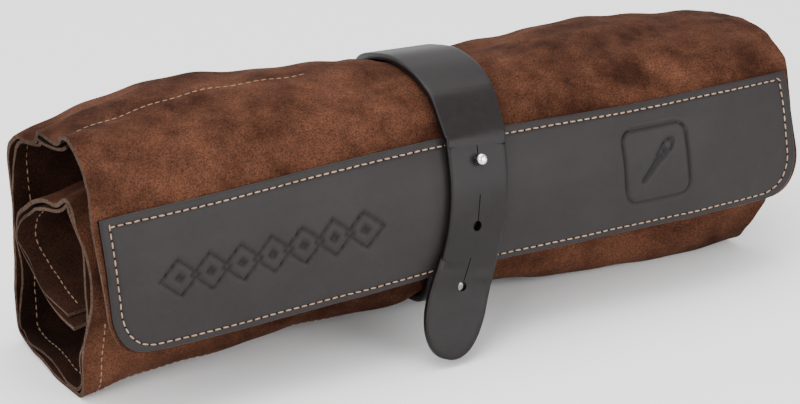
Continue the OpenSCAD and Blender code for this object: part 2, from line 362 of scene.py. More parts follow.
waveBank = np.random.default_rng(7)
waveSizes = {95: 1.1, 62: 0.9, 41: 0.6, 27: 0.35, 19: 0.22, 13: 0.12}  # wave length and height, mm
waves = []
for length, size in waveSizes.items():
    rate = waveBank.uniform(0.4, 1.0) / length
    angle = waveBank.uniform(0, 2 * math.pi)
    waves.append((rate, angle, waveBank.uniform(0, 2 * math.pi), size))


def ripple(u, x):
    total = 0
    for rate, angle, phase, size in waves:
        across = u * math.cos(angle) + x * math.sin(angle)
        total = total + size * np.sin(2 * math.pi * rate * 1.5 * across + phase)
    return total


fineSheetKnots = np.linspace(0, lastKnot, lastKnot * 8 + 1)
middleLengths = runLengths(curveThrough(sections[1], fineSheetKnots))


def lengthAt(s):
    return np.interp(s, fineSheetKnots, middleLengths)


def knotAt(length):
    return np.interp(length, middleLengths, fineSheetKnots)


def sectionAt(s, x):
    values = np.stack([curveThrough(section, s) for section in sections])
    spans = (stationX[2:] - stationX[:-2]).reshape((-1,) + (1,) * (values.ndim - 1))
    slopes = np.empty_like(values)
    slopes[1:-1] = (values[2:] - values[:-2]) / spans
    slopes[0] = 1.7 * (values[1] - values[0]) / (stationX[1] - stationX[0])
    slopes[-1] = 1.2 * (values[-1] - values[-2]) / (stationX[-1] - stationX[-2])
    k = np.clip(np.searchsorted(stationX, x) - 1, 0, len(stationX) - 2)
    width = (stationX[k + 1] - stationX[k])[..., None]
    t = (x - stationX[k])[..., None] / width
    pick = np.stack([k, k], axis=-1)[None]
    v0, v1, m0, m1 = (np.take_along_axis(table, at, 0)[0] for table in (values,
        slopes) for at in (pick, pick + 1))
    return hermite(t, v0, m0 * width, v1, m1 * width)


def rawSheet(s, x):
    s, x = np.broadcast_arrays(np.asarray(s, float), np.asarray(x, float))
    yz = sectionAt(s, x)
    return np.stack([x, yz[..., 0] + frontY, yz[..., 1]], axis=-1)


def normalOf(point, s, x):
    ds, dx = 0.03, 0.8
    a = point(s + ds, x) - point(s - ds, x)
    b = point(s, x + dx) - point(s, x - dx)
    n = np.cross(b, a)
    return n / np.maximum(np.linalg.norm(n, axis=-1, keepdims=True), 1e-9)


strapDrift = {"knots": [0, 2.3, 4.2, 6.4, 8.2, 9.5, 12.0, 14.0, 16.0],  # sideways, as it goes round
              "side": [-3.4, -1.6, 0.0, 1.8, 3.2, 3.6, 4.0, 2.0, 0.0]}


def strapMiddle(s):
    return strapX + np.interp(s, strapDrift["knots"], strapDrift["side"])


def sheetPoint(s, x):
    s, x = np.broadcast_arrays(np.asarray(s, float), np.asarray(x, float))
    base = rawSheet(s, x)
    n = normalOf(rawSheet, s, x)
    u = lengthAt(np.clip(s, 0, lastKnot))
    free = smoothStep((s - 2.6) / 1.6)
    height = ripple(u, x) * (0.35 + 0.65 * free)
    fromLeft = np.exp(-(x - leftX) / 24.0)
    height = height - fromLeft * free * (
        2.7 * np.cos((u - lengthAt(6.95)) / 4.46) * np.exp(-((s - 8.0) / 1.7) ** 2)
        - 2.0 * np.sin(u / 7.0) * np.exp(-((s - 17.3) / 1.6) ** 2)
        - 2.2 * np.sin(u / 4.8 + 1.0) * np.exp(-((s - 25.6) / 2.2) ** 2)
        - 1.5 * np.sin(u / 6.0) * np.exp(-((s - 21.5) / 1.5) ** 2))
    fromStrap = x - strapMiddle(s)
    nearStrap = np.exp(-((np.abs(fromStrap) - 34) / 13.0) ** 2)
    height = height + free * nearStrap * 1.2 * np.sin(u / 8.0 + np.sign(fromStrap) * 0.9)
    under = np.exp(-((fromStrap) / 21.0) ** 6)
    height = height * (1 - 0.97 * under) - rollShape["pinch"] * smoothStep((s - 7) / 1.5) * under
    height = height * (1 - 0.75 * np.exp(-((s - 17) / 3.2) ** 2) * (1 - under))
    p = base + n * height[..., None]
    p[..., 2] = np.maximum(p[..., 2], floorGap)
    return p


def sheetNormal(s, x):
    return normalOf(sheetPoint, s, x)


def link(name, mesh):
    piece = bpy.data.objects.new(name, mesh)
    scene.collection.objects.link(piece)
    return piece


def finishMesh(mesh, sharpAngle=0.9):  # faces outward and smooth, sharp past an angle
    work = bmesh.new()
    work.from_mesh(mesh)
    bmesh.ops.delete(work, geom=[v for v in work.verts if not v.link_faces], context="VERTS")
    bmesh.ops.recalc_face_normals(work, faces=work.faces)
    for face in work.faces:
        face.smooth = True
    for edge in work.edges:
        if len(edge.link_faces) == 2 and edge.calc_face_angle(0) > sharpAngle:
            edge.smooth = False
    work.to_mesh(mesh)
    work.free()


def shell(name, outer, inner, materials):  # closed sheet between two grids
    rows, cols = outer.shape[:2]
    count = rows * cols
    verts = np.concatenate([outer.reshape(-1, 3), inner.reshape(-1, 3)]) * mm
    i, j = np.meshgrid(np.arange(rows - 1), np.arange(cols - 1), indexing="ij")
    a = (i * cols + j).ravel()
    quads = np.stack([a, a + 1, a + cols + 1, a + cols], axis=1)
    faces = [quads, quads[:, ::-1] + count]
    top = np.arange(cols - 1)
    side = np.arange(rows - 1) * cols
    rims = [(top + 1, top), ((rows - 1) * cols + top, (rows - 1) * cols + top + 1),
            (side, side + cols), (side + 2 * cols - 1, side + cols - 1)]
    for p, q in rims:
        faces.append(np.stack([p, q, q + count, p + count], axis=1))
    sizes = [len(f) for f in faces]
    allFaces = np.concatenate(faces)
    mesh = bpy.data.meshes.new(name)
    mesh.from_pydata(verts.tolist(), [], allFaces.tolist())
    for material in materials:
        mesh.materials.append(material)
    slots = np.concatenate([np.full(n, 0 if k == 0 else 1 if k == 1 else 2) for k, n in enumerate(sizes)])
    slots = np.minimum(slots, len(materials) - 1)
    mesh.polygons.foreach_set("material_index", slots.astype(np.int32))
    finishMesh(mesh)
    return link(name, mesh)


def sheetStrip(name, s0, s1, x0, x1, thickness, materials, offset=None):
    steps = max(int(abs(lengthAt(s1) - lengthAt(s0)) / rollShape["step"]), 2)
    s = knotAt(np.linspace(lengthAt(s0), lengthAt(s1), steps + 1))
    t = np.linspace(0, 1, int((rightX - leftX) / rollShape["step"]) + 1)
    lo = x0(s)[:, None]
    hi = x1(s)[:, None]
    x = lo + (hi - lo) * t[None, :]
    grid = np.broadcast_to(s[:, None], x.shape)
    p, n = sheetPoint(grid, x), sheetNormal(grid, x)
    depth = 0 if offset is None else offset(grid, x)[..., None]
    outer = p - n * depth
    inner = outer - n * thickness
    outer[..., 2] = np.maximum(outer[..., 2], floorGap)
    inner[..., 2] = np.maximum(inner[..., 2], floorGap + 0.6 * thickness)
    return shell(name, outer, inner, materials)


def leftEdge(s):
    return leftX + 0.8 + 0.7 * np.sin(np.asarray(s) * 1.7)


def rightEdge(s):
    return rightX - np.interp(s, np.arange(lastKnot + 1), rightInset) + 0.5 * np.sin(np.asarray(s) * 2.3)


bandShape = {"width": 60.0, "thick": 2.0, "corner": 20.0, "inset": 4.2, "endGap": 1.6, "step": 0.9,
             "margin": 1.4}


def cornerCut(s, radius, margin):
    down = np.clip(radius - (s + margin), 0, radius)
    return radius - np.sqrt(np.maximum(radius ** 2 - down ** 2, 0))


backFold = {"start": 11.8, "end": 9.0}
topFold = {"start": 7.3, "end": 4.7}


def foldPoint(s):
    return tuple(float(v) * mm for v in rawSheet(np.array(s), np.array(strapX)))


suedeSet = [suede, suedeShadedInside, suedeEdge]
sheetCore = sheetStrip("sheetCore", 12.0, lastKnot, leftEdge, rightEdge, rollShape["sheet"], suedeSet)
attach(sheetCore, "roll")
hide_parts("sheet_back", "sheet_bottom", "sheet_inner_front", "sheet_inner_top",
    "sheet_inner_back",
            "sheet_inner_end")
sheetBackFold = sheetStrip("sheetBackFold", 8.6, 12.0, leftEdge, rightEdge, rollShape["sheet"], suedeSet)
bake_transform(sheetBackFold, "roll", "top_panel", foldPoint(backFold["start"]), foldPoint(backFold["end"]))
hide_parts("sheet_top")
sheetTopFold = sheetStrip("sheetTopFold", 3.0, 8.6, leftEdge, rightEdge, rollShape["sheet"], suedeSet)
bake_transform(sheetTopFold, "top_panel", "flap", foldPoint(topFold["start"]), foldPoint(topFold["end"]))
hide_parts("sheet_flap_upper")


def flapCut(s):
    margin = bandShape["margin"]
    return cornerCut(np.asarray(s) * bandShape["width"] / 3, bandShape["corner"] + margin, margin)


def flapStrip():
    s = np.linspace(-bandShape["margin"] / 20.0, 3.0, 40)
    t = np.linspace(0, 1, int((rightX - leftX) / rollShape["step"]) + 1)
    lo, hi = (leftEdge(s) + flapCut(s))[:, None], (rightEdge(s) - flapCut(s))[:, None]
    x = lo + (hi - lo) * t[None, :]
    grid = np.broadcast_to(s[:, None], x.shape)
    p, n = flapPoint(grid, x), flapNormal(grid, x)
    return shell("sheetFlap", p, p - n * rollShape["sheet"], suedeSet)


def flapPoint(s, x):
    low = np.minimum(s, 0)
    p = sheetPoint(np.maximum(s, 0), x)
    edge = sheetPoint(np.zeros_like(p[..., 0]), x)
    above = sheetPoint(np.full_like(p[..., 0], 0.1), x)
    return p + (above - edge) / 0.1 * low[..., None]


def flapNormal(s, x):
    return normalOf(flapPoint, s, x)


sheetFlap = flapStrip()
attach(sheetFlap, "flap")
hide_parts("sheet_flap_lower")
print("sheet made")

pocketShape = {"first": 6.75, "mouth": 123.0, "hem": 8.5, "bulge": 6.0, "gap": 0.5}
divisions = [6.75, 10.3, 12.9, 15.4, 19.3, 21.9, 24.4, 29.2, 32.4]


def pocketDepth(s, x):
    u = lengthAt(s)
    marks = lengthAt(np.array(divisions))
    k = np.clip(np.searchsorted(marks, u) - 1, 0, len(marks) - 2)
    t = np.clip((u - marks[k]) / (marks[k + 1] - marks[k]), 0, 1)
    belly = np.sin(math.pi * t) ** 0.8
    fromHem = np.clip((x - leftX - pocketShape["hem"]) / 40.0, 0, 1)
    edge = np.clip((leftX + pocketShape["hem"] - x) / pocketShape["hem"], 0, 1)
    size = np.minimum(pocketShape["bulge"], 0.16 * (marks[k + 1] - marks[k]))
    lip = 1.3 * edge * (0.5 + 0.5 * np.sin(u / 9.0 + 1.3))
    return rollShape["sheet"] + pocketShape["gap"] + belly * size * smoothStep(fromHem) + lip


def panelLeft(s):
    return leftX + 1.2 + 0.9 * np.sin(np.asarray(s) * 2.9 + 1)


def panelRight(s):
    return leftX + pocketShape["mouth"] + 0 * np.asarray(s)


def panelStrip(name, s0, s1):
    steps = max(int(abs(lengthAt(s1) - lengthAt(s0)) / rollShape["step"]), 2)
    s = knotAt(np.linspace(lengthAt(s0), lengthAt(s1), steps + 1))
    t = np.linspace(0, 1, 50)
    x = panelLeft(s)[:, None] * (1 - t) + panelRight(s)[:, None] * t
    grid = np.broadcast_to(s[:, None], x.shape)
    p, n = sheetPoint(grid, x), sheetNormal(grid, x)
    depth = pocketDepth(grid, x)[..., None]
    outer = p - n * depth
    inner = outer - n * rollShape["pocketPanel"]
    return shell(name, outer, inner, [suedeShadedInside, suedeShadedInside, suedeEdge])


panelTop = panelStrip("pocketPanelTop", pocketShape["first"], 8.6)
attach(panelTop, "top_panel")
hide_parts("pocket_1", "pocket_end_1", "pocket_side_seams_top")
panelBackFold = panelStrip("pocketPanelBackFold", 8.6, 12.0)
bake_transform(panelBackFold, "roll", "top_panel", foldPoint(backFold["start"]), foldPoint(backFold["end"]))
panelCore = panelStrip("pocketPanelCore", 12.0, 32.6)
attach(panelCore, "roll")
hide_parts("pocket_side_seams_roll", *[f"pocket_{k}" for k in range(2, 9)],
            *[f"pocket_end_{k}" for k in range(2, 9)])
print("pocket panel made")

def makeStitchTree():  # one thread bead at each pitch along a path, turned to the path and its "up"
    tree = bpy.data.node_groups.new("stitchRow", "GeometryNodeTree")
    sockets = [("Geometry", "INPUT", "Geometry"), ("Pitch", "INPUT", "Float"), ("Length", "INPUT", "Float"),
               ("Width", "INPUT", "Float"), ("Height", "INPUT", "Float"), ("Shift", "INPUT", "Float"),
               ("Material", "INPUT", "Material"), ("Geometry", "OUTPUT", "Geometry")]
    for name, side, kind in sockets:
        tree.interface.new_socket(name, in_out=side, socket_type="NodeSocket" + kind)
    start = tree.nodes.new("NodeGroupInput").outputs

    def add(kind, values=None, **settings):
        return addNode(tree, kind, values, **settings).outputs[0]

    curve = add("GeometryNodeMeshToCurve", {0: start["Geometry"]})
    spread = add("GeometryNodeResampleCurve", {"Curve": curve, "Length": start["Pitch"]}, mode="LENGTH")
    tangent = add("GeometryNodeInputTangent")
    push = add("ShaderNodeVectorMath", {0: tangent, "Scale": start["Shift"]}, operation="SCALE")
    moved = add("GeometryNodeSetPosition", {"Geometry": spread, "Offset": push})
    up = add("GeometryNodeInputNamedAttribute", {"Name": "up"}, data_type="FLOAT_VECTOR")
    alignX = add("FunctionNodeAlignRotationToVector", {"Vector": tangent}, axis="X")
    alignZ = add("FunctionNodeAlignRotationToVector", {"Rotation": alignX, "Vector": up}, axis="Z",
        pivot_axis="X")
    chance = add("FunctionNodeRandomValue", {0: (-0.03, -0.05, -0.09), 1: (0.03, 0.05, 0.09), "Seed": 11},
                 data_type="FLOAT_VECTOR")
    turn = add("FunctionNodeRotateRotation", {0: alignZ, 1: chance}, rotation_space="LOCAL")
    ball = add("GeometryNodeMeshUVSphere", {"Segments": 8, "Rings": 6, "Radius": 0.5})
    size = add("ShaderNodeCombineXYZ", {0: start["Length"], 1: start["Width"], 2: start["Height"]})
    put = add("GeometryNodeInstanceOnPoints", {"Points": moved, "Instance": ball, "Rotation": turn,
        "Scale": size})
    real = add("GeometryNodeRealizeInstances", {0: put})
    soft = add("GeometryNodeSetShadeSmooth", {0: real})
    finish = add("GeometryNodeSetMaterial", {0: soft, "Material": start["Material"]})
    addNode(tree, "NodeGroupOutput", {0: finish})
    return tree


stitchTree = makeStitchTree()
stitchShape = {"Pitch": 3.7, "Length": 2.9, "Width": 0.7, "Height": 0.5, "Shift": 0.0}
bandStitchShape = {"Pitch": 3.7, "Length": 3.1, "Width": 0.75, "Height": 0.6, "Shift": 0.0}
holeShadeShape = {"Pitch": 3.7, "Length": 0.95, "Width": 0.95, "Height": 0.5, "Shift": 1.85}


def stitchRow(name, runs, shape, material):
    verts, edges, ups = [], [], []
    for points, normals in runs:
        first = len(verts)
        verts += [tuple(p * mm) for p in points]
        ups += [tuple(n) for n in normals]
        edges += [(first + k, first + k + 1) for k in range(len(points) - 1)]
    mesh = bpy.data.meshes.new(name + "Path")
    mesh.from_pydata(verts, edges, [])
    attribute = mesh.attributes.new("up", "FLOAT_VECTOR", "POINT")
    attribute.data.foreach_set("vector", np.array(ups, np.float32).ravel())
    path = link(name + "Path", mesh)
    modifier = path.modifiers.new("stitches", "NODES")
    modifier.node_group = stitchTree
    for item in stitchTree.interface.items_tree:
        if item.in_out == "INPUT" and item.name in shape:
            modifier[item.identifier] = shape[item.name] * mm
        elif item.in_out == "INPUT" and item.name == "Material":
            modifier[item.identifier] = material
    result = bpy.data.meshes.new_from_object(path.evaluated_get(bpy.context.evaluated_depsgraph_get()))
    bpy.data.objects.remove(path)
    result.name = name
    for attribute in [a for a in result.attributes if a.name == "up"]:
        result.attributes.remove(attribute)
    return link(name, result)


def sheetRun(s, x, lift):
    s, x = np.broadcast_arrays(np.asarray(s, float), np.asarray(x, float))
    n = sheetNormal(s, x)
    return sheetPoint(s, x) + n * lift, n


def panelRun(s, x, lift):
    s, x = np.broadcast_arrays(np.asarray(s, float), np.asarray(x, float))
    n = sheetNormal(s, x)
    depth = pocketDepth(s, x)[..., None] + rollShape["pocketPanel"] + lift
    return sheetPoint(s, x) - n * depth, -n


def knots(s0, s1, step=1.5):
    return knotAt(np.arange(lengthAt(s0), lengthAt(s1), step))


def places(x0, x1, step=1.5):
    return np.arange(x0, x1, step)


hemX = leftX + pocketShape["hem"]
mouthX = leftX + pocketShape["mouth"]
seamLift = 0.08
firstSeam = places(hemX, mouthX)
firstSeamKnots = np.interp(firstSeam, [hemX, mouthX], [6.85, 7.2])
edgeRun = sheetRun(firstSeamKnots, firstSeam, seamLift)
edgeStitching = stitchRow("pocketEdgeStitching", [edgeRun], stitchShape, wornThread)
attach(edgeStitching, "top_panel")
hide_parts("pocket_edge_stitching")
hemTop = stitchRow("hemStitchingTop", [panelRun(knots(6.9, 8.6), hemX, seamLift)], stitchShape, wornThread)
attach(hemTop, "top_panel")
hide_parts("hem_stitching_top")
hemBack = stitchRow("hemStitchingBackFold", [
    panelRun(knots(8.6, 12.0), hemX, seamLift),
    sheetRun(divisions[1], places(hemX + 3, mouthX), seamLift)], stitchShape, wornThread)
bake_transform(hemBack, "roll", "top_panel", foldPoint(backFold["start"]), foldPoint(backFold["end"]))
hemCore = stitchRow("hemStitchingRoll", [
    sheetRun(knots(12.9, 22.0), hemX, seamLift),
    panelRun(knots(12.0, 32.4), hemX, seamLift)], stitchShape, wornThread)
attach(hemCore, "roll")
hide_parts("hem_stitching_back")
divisionRuns = [sheetRun(s, places(hemX + 3, mouthX), seamLift) for s in divisions[2:8]]
divisionStitching = stitchRow("pocketDivisionStitching", divisionRuns, stitchShape, wornThread)
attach(divisionStitching, "roll")
print("sheet stitches made")

def bandKnot(s):
    return s * 3.0 / bandShape["width"]


def bandEnds(s):
    cut = cornerCut(s, bandShape["corner"], 0.0)
    return leftX + bandShape["endGap"] + 1.0 + cut, rightX - bandShape["endGap"] - 2.2 - cut


def edgeDistance(s, x):
    r = bandShape["corner"]
    lo, hi = leftX + bandShape["endGap"] + 1.0, rightX - bandShape["endGap"] - 2.2
    ends = np.minimum(x - lo, hi - x)
    straight = np.minimum(np.minimum(ends, s), bandShape["width"] - s)
    inCorner = (ends < r) & (s < r)
    rounded = r - np.hypot(np.maximum(r - ends, 0), np.maximum(r - s, 0))
    return np.where(inCorner, rounded, straight)


def segment(px, py, ax, ay, bx, by):
    t = np.clip(((px - ax) * (bx - ax) + (py - ay) * (by - ay)) / ((bx - ax) ** 2 + (by - ay) ** 2), 0, 1)
    return np.hypot(px - ax - t * (bx - ax), py - ay - t * (by - ay))


motif = {"rowX": -97.0, "rowS": 29.0, "rowCount": 7, "rowPitch": 14.6, "diamond": 5.8, "line": 0.55,
         "badgeX": 95.0, "badgeS": 30.0, "badgeHalf": 16.5, "badgeRound": 5.5, "depth": 0.8}


def motifDepth(s, x):
    best = np.full(np.shape(x), 9.0)
    m = motif
    for k in range(m["rowCount"]):
        cx = m["rowX"] + (k - (m["rowCount"] - 1) / 2) * m["rowPitch"]
        d = (np.abs(x - cx) / 1.15 + np.abs(s - m["rowS"])) / math.sqrt(1.76) - m["diamond"]
        best = np.minimum(best, np.abs(d))
        best = np.minimum(best, (np.abs(x - cx) + np.abs(s - m["rowS"])) / 1.41 - 1.1)
    px, py = x - m["badgeX"], s - m["badgeS"]
    flat = m["badgeHalf"] - m["badgeRound"]
    qx, qy = np.maximum(np.abs(px) - flat, 0), np.maximum(np.abs(py) - flat, 0)
    best = np.minimum(best, np.abs(np.hypot(qx, qy) - m["badgeRound"]))
    c = math.sqrt(0.5)
    u, v = (px + py) * c, (py - px) * c
    handle = segment(u, v, -10.5, 0, 2.0, 0) - 0.55 - 0.05 * np.clip(u + 10, 0, 12)
    ferrule = np.maximum(np.abs(u - 4.0) - 1.7, np.abs(v) - 1.9)
    bristle = np.maximum(np.hypot((u - 8.2) / 1.7, v) - 2.4, -(u - 6.4))
    best = np.minimum(best, np.minimum(handle, np.minimum(np.abs(ferrule), np.abs(bristle))))
    return m["depth"] * smoothStep((m["line"] + 0.35 - best) / 0.7)


def bandHeight(s, x):
    d = edgeDistance(s, x)
    rim = 1 - np.sqrt(np.clip(1 - (1 - np.clip(d / 0.9, 0, 1)) ** 2, 0, 1))
    groove = 0.3 * np.exp(-((d - bandShape["inset"]) / 0.65) ** 2)
    crease = 0.10 * np.exp(-((d - 1.9) / 0.4) ** 2)
    return bandShape["thick"] - 0.55 * rim - groove - crease - motifDepth(s, x)


def makeBand():
    rows = int(bandShape["width"] / bandShape["step"])
    cols = int((rightX - leftX) / bandShape["step"])
    s = bandShape["width"] * (0.5 - 0.5 * np.cos(np.linspace(0, math.pi, rows + 1)))
    s = 0.25 * s + 0.75 * np.linspace(0, bandShape["width"], rows + 1)
    t = np.linspace(0, 1, cols + 1)
    lo, hi = bandEnds(s)
    x = lo[:, None] + (hi - lo)[:, None] * t[None, :]
    grid = np.broadcast_to(s[:, None], x.shape)
    p, n = flapPoint(bandKnot(grid), x), flapNormal(bandKnot(grid), x)
    outer = p + n * bandHeight(grid, x)[..., None]
    inner = p + n * 0.04
    piece = shell("frontBand", outer, inner, [leather, leather, leatherEdge])
    # painted shade mask: the motif's recesses and the stitching groove, darkened by the leather shader
    grooveShade = piece.data.attributes.new("grooveShade", "FLOAT", "POINT")
    seam = np.exp(-((edgeDistance(grid, x) - bandShape["inset"]) / 0.9) ** 2)
    shade = np.clip(motifDepth(grid, x) / motif["depth"] + 0.5 * seam, 0, 1)
    grooveShade.data.foreach_set("value", np.concatenate([shade.ravel(), 0 * shade.ravel()]).astype(np.float32))
    return piece


band = makeBand()
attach(band, "flap")
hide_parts("front_band")


def bandRun(lift):
    inset, r = bandShape["inset"], bandShape["corner"] - bandShape["inset"]
    lo, hi = leftX + bandShape["endGap"] + 1.0 + inset, rightX - bandShape["endGap"] - 2.2 - inset
    top = bandShape["width"] - inset
    low = inset
    outline = [(lo + 0.01, top), (lo, low + r)]
    for a in np.linspace(0.1, math.pi / 2, 14):
        outline.append((lo + r - r * math.cos(a), low + r - r * math.sin(a)))
    for a in np.linspace(0, math.pi / 2, 14):
        outline.append((hi - r + r * math.sin(a), low + r - r * math.cos(a)))
    outline += [(hi, top), (lo + 0.02, top)]
    points = []
    for (xa, sa), (xb, sb) in zip(outline[:-1], outline[1:]):
        count = max(int(math.hypot(xb - xa, sb - sa) / 1.2), 1)
        points += [(xa + (xb - xa) * k / count, sa + (sb - sa) * k / count) for k in range(count)]
    points = np.array(points)
    x, s = points[:, 0], points[:, 1]
    p, n = flapPoint(bandKnot(s), x), flapNormal(bandKnot(s), x)
    return p + n * (bandShape["thick"] - 0.3 + lift), n


bandStitches = stitchRow("bandStitching", [bandRun(0.16)], bandStitchShape, threadMaterial)
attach(bandStitches, "flap")
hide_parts("band_stitching")
# painted shade dots between the band's stitches, standing in for the needle holes
bandHoleShades = stitchRow("bandNeedleHoleShades", [bandRun(0.02)], holeShadeShape, needleHoleShade)
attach(bandHoleShades, "flap")
print("band made")

# the strap lies on the sheet from its riveted end, under and up the back, then hangs over the band:
# depth, height and sideways place of its inner face
strapOverSheet = np.array([
    21.6, 21.0, 20.4, 19.8, 19.2, 18.4, 17.4, 16.6, 15.9, 15.3, 14.4, 13.4, 12.4, 11.5, 10.8, 10.1,
        9.3, 8.3,
    7.3, 6.4, 5.6, 4.9, 4.2])
overBand = np.array([58.5, 54.0, 47.0, 39.0, 30.0, 21.0, 12.0, 5.0, -0.6])
bandSideways = np.array([-0.8, -1.4, -2.2, -3.2, -4.7, -6.6, -9.2, -11.7, -14.0])
tailPlaces = [(-34.9, 28, -17.9), (-37.8, 18.5, -22.0), (-40.6, 10, -25.4), (-42.8, 2.6, -28.4)]


def restOn(point, normal, s, middle, gap):
    w = np.array([-17.0, -11.0, 0.0, 11.0, 17.0])
    spots = point(s[:, None], middle[:, None] + w[None, :])
    across = spots[:, -1] - spots[:, 0]
    across = across / np.linalg.norm(across, axis=1, keepdims=True)
    out = normal(s, middle)
    out = out - across * (out * across).sum(axis=1, keepdims=True)
    out = out / np.linalg.norm(out, axis=1, keepdims=True)
    line = spots[:, 2] + out * gap[:, None]
    needed = ((spots - spots[:, 2:3]) * out[:, None]).sum(axis=2).max(axis=1)
    return line + out * np.maximum(needed, 0)[:, None], across


sheetGap = np.interp(strapOverSheet, [4.2, 4.9, 5.6, 6.4], [2.7, 1.8, 1.1, 0.6])
sheetMiddle = strapMiddle(strapOverSheet)
onSheet, acrossSheet = restOn(sheetPoint, sheetNormal, strapOverSheet, sheetMiddle, sheetGap)
clearOfBand = np.interp(overBand, [-0.6, 5, 12, 21, 50, 60], [2.9, 1.8, 1.0, 0.7, 0.6, 1.1])
bandGap = bandShape["thick"] + clearOfBand
onBand, acrossBand = restOn(flapPoint, flapNormal, bandKnot(overBand), strapX + bandSideways, bandGap)
tail = np.array([(strapX + x, frontY + y, z) for y, z, x in tailPlaces])
strapLine = np.concatenate([onSheet, onBand, tail])
strapAcross = np.concatenate([acrossSheet, acrossBand, np.tile([1.0, 0.0, 0.0], (len(tail), 1))])
strapShape = {"width": 31.0, "thick": 3.1, "step": 1.5, "holeR": 2.25, "slit": 11.5, "pitch": 28.0,
              "backStart": 12.0, "topStart": 17.5, "liftStart": 21.6, "endStart": 24.2}
strapKnots = len(strapLine) - 1
fineKnots = np.linspace(0, strapKnots, strapKnots * 12 + 1)


def strapCurve(s):
    return curveThrough(strapLine, np.clip(np.asarray(s, float), 0, strapKnots))


strapLengths = runLengths(strapCurve(fineKnots))
taperKnots = [0, 8, 14, 17, 19, 22, 24, 30, 35]
taperShares = [1.0, 1.0, 1.04, 1.08, 1.07, 1.0, 0.92, 0.9, 0.98]


def strapLengthAt(s):
    return float(np.interp(s, fineKnots, strapLengths))


def strapFrame(length, w):
    length, w = np.broadcast_arrays(np.asarray(length, float), np.asarray(w, float))
    s = np.interp(length, strapLengths, fineKnots)
    p = strapCurve(s)
    tangent = strapCurve(s + 0.04) - strapCurve(s - 0.04)
    tangent = tangent / np.linalg.norm(tangent, axis=-1, keepdims=True)
    numbers = np.arange(strapKnots + 1)
    across = np.stack([np.interp(s, numbers, strapAcross[:, k]) for k in range(3)], axis=-1)
    across = across - tangent * (across * tangent).sum(axis=-1, keepdims=True)
    across = across / np.linalg.norm(across, axis=-1, keepdims=True)
    out = np.cross(tangent, across)
    taper = np.interp(s, taperKnots, taperShares)
    return p + across * (w * taper)[..., None], out


def strapRise():
    trees = [BVHTree.FromObject(piece, bpy.context.evaluated_depsgraph_get())
             for piece in (sheetCore, sheetBackFold, sheetTopFold, sheetFlap, band)]
    rows = np.arange(0, strapLengths[-1], 1.2)
    high = np.full(len(rows), -0.6)
    for w in np.linspace(-15.5, 15.5, 9):
        p, out = strapFrame(rows, w)
        for k in range(len(rows)):
            ray = Vector(out[k])
            start = Vector(p[k] * mm) + ray * 0.009
            for tree in trees:
                hit = tree.ray_cast(start, -ray, 0.016)
                if hit[0] is not None:
                    high[k] = max(high[k], 9.0 - hit[3] / mm)
    wide = np.array([high[max(k - 3, 0):k + 4].max() for k in range(len(high))])
    for k in range(1, len(wide)):
        wide[k] = max(wide[k], wide[k - 1] - 0.07)
        wide[-k - 1] = max(wide[-k - 1], wide[-k] - 0.07)
    soft = np.convolve(np.pad(wide, 5, mode="edge"), np.ones(11) / 11, mode="valid")
    return rows, np.maximum(soft + 0.45, 0)


riseRows, rises = strapRise()


def strapPoint(length, w, lift):
    p, out = strapFrame(length, w)
    spread, _ = np.broadcast_arrays(np.asarray(length, float), np.asarray(w, float))
    rise = np.interp(spread, riseRows, rises)
    return p + out * (np.asarray(lift, float) + rise)[..., None], out


def rimDrop(d):
    return 0.75 * (1 - np.sqrt(np.clip(1 - (1 - np.clip(d / 0.9, 0, 1)) ** 2, 0, 1)))


def strapStrip(name, s0, s1):
    a, b = strapLengthAt(s0), strapLengthAt(s1)
    rows = np.linspace(a, b, max(int((b - a) / strapShape["step"]), 2) + 1)
    half = strapShape["width"] / 2
    rim = np.array([0, 0.12, 0.45, 1.0])
    w = np.concatenate([rim - half, np.linspace(-half + 2.2, half - 2.2, 13), half - rim[::-1]])
    drop = rimDrop(half - np.abs(w))
    grid, ww = np.meshgrid(rows, w, indexing="ij")
    outer, _ = strapPoint(grid, ww, strapShape["thick"] - np.broadcast_to(drop, grid.shape))
    inner, _ = strapPoint(grid, ww, np.broadcast_to(drop * 0.6, grid.shape))
    return shell(name, outer, inner, [strapLeather, leatherFlesh, leatherEdge])


def strapSpot(s):
    return tuple(float(v) * mm for v in strapCurve(np.array(s)))


strapRoll = strapStrip("strapUnderRoll", 0, strapShape["backStart"])
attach(strapRoll, "roll")
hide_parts("strap_anchor", "strap_under", "strap_back")
strapBackFold = strapStrip("strapBackFold", strapShape["backStart"], strapShape["topStart"])
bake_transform(strapBackFold, "roll", "top_panel", foldPoint(backFold["start"]), foldPoint(backFold["end"]))
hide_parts("strap_over_top")
strapTopFold = strapStrip("strapTopFold", strapShape["topStart"], strapShape["liftStart"])
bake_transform(strapTopFold, "top_panel", "flap", foldPoint(topFold["start"]), foldPoint(topFold["end"]))
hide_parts("strap_corner")
strapLiftFold = strapStrip("strapLiftFold", strapShape["liftStart"], strapShape["endStart"])
liftLine = strapSpot(strapShape["liftStart"]), strapSpot(strapShape["endStart"])
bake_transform(strapLiftFold, "flap", "strap_end", *liftLine)
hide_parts("strap_shoulder")

studShape = {"knot": 25.0, "neck": 1.4, "head": 2.6, "tall": 2.3, "collar": 2.7}


def keyholeLoop(cy):
    r, half = strapShape["holeR"], 0.22
    a = math.asin(half / r)
    turns = np.linspace(math.pi / 2 + a, math.pi / 2 - a + 2 * math.pi, 30)
    loop = [(r * math.cos(t), cy - r * math.sin(t)) for t in turns]
    tip = cy - r - strapShape["slit"]
    return loop + [(half, tip + 0.6), (0.0, tip), (-half, tip + 0.6)]


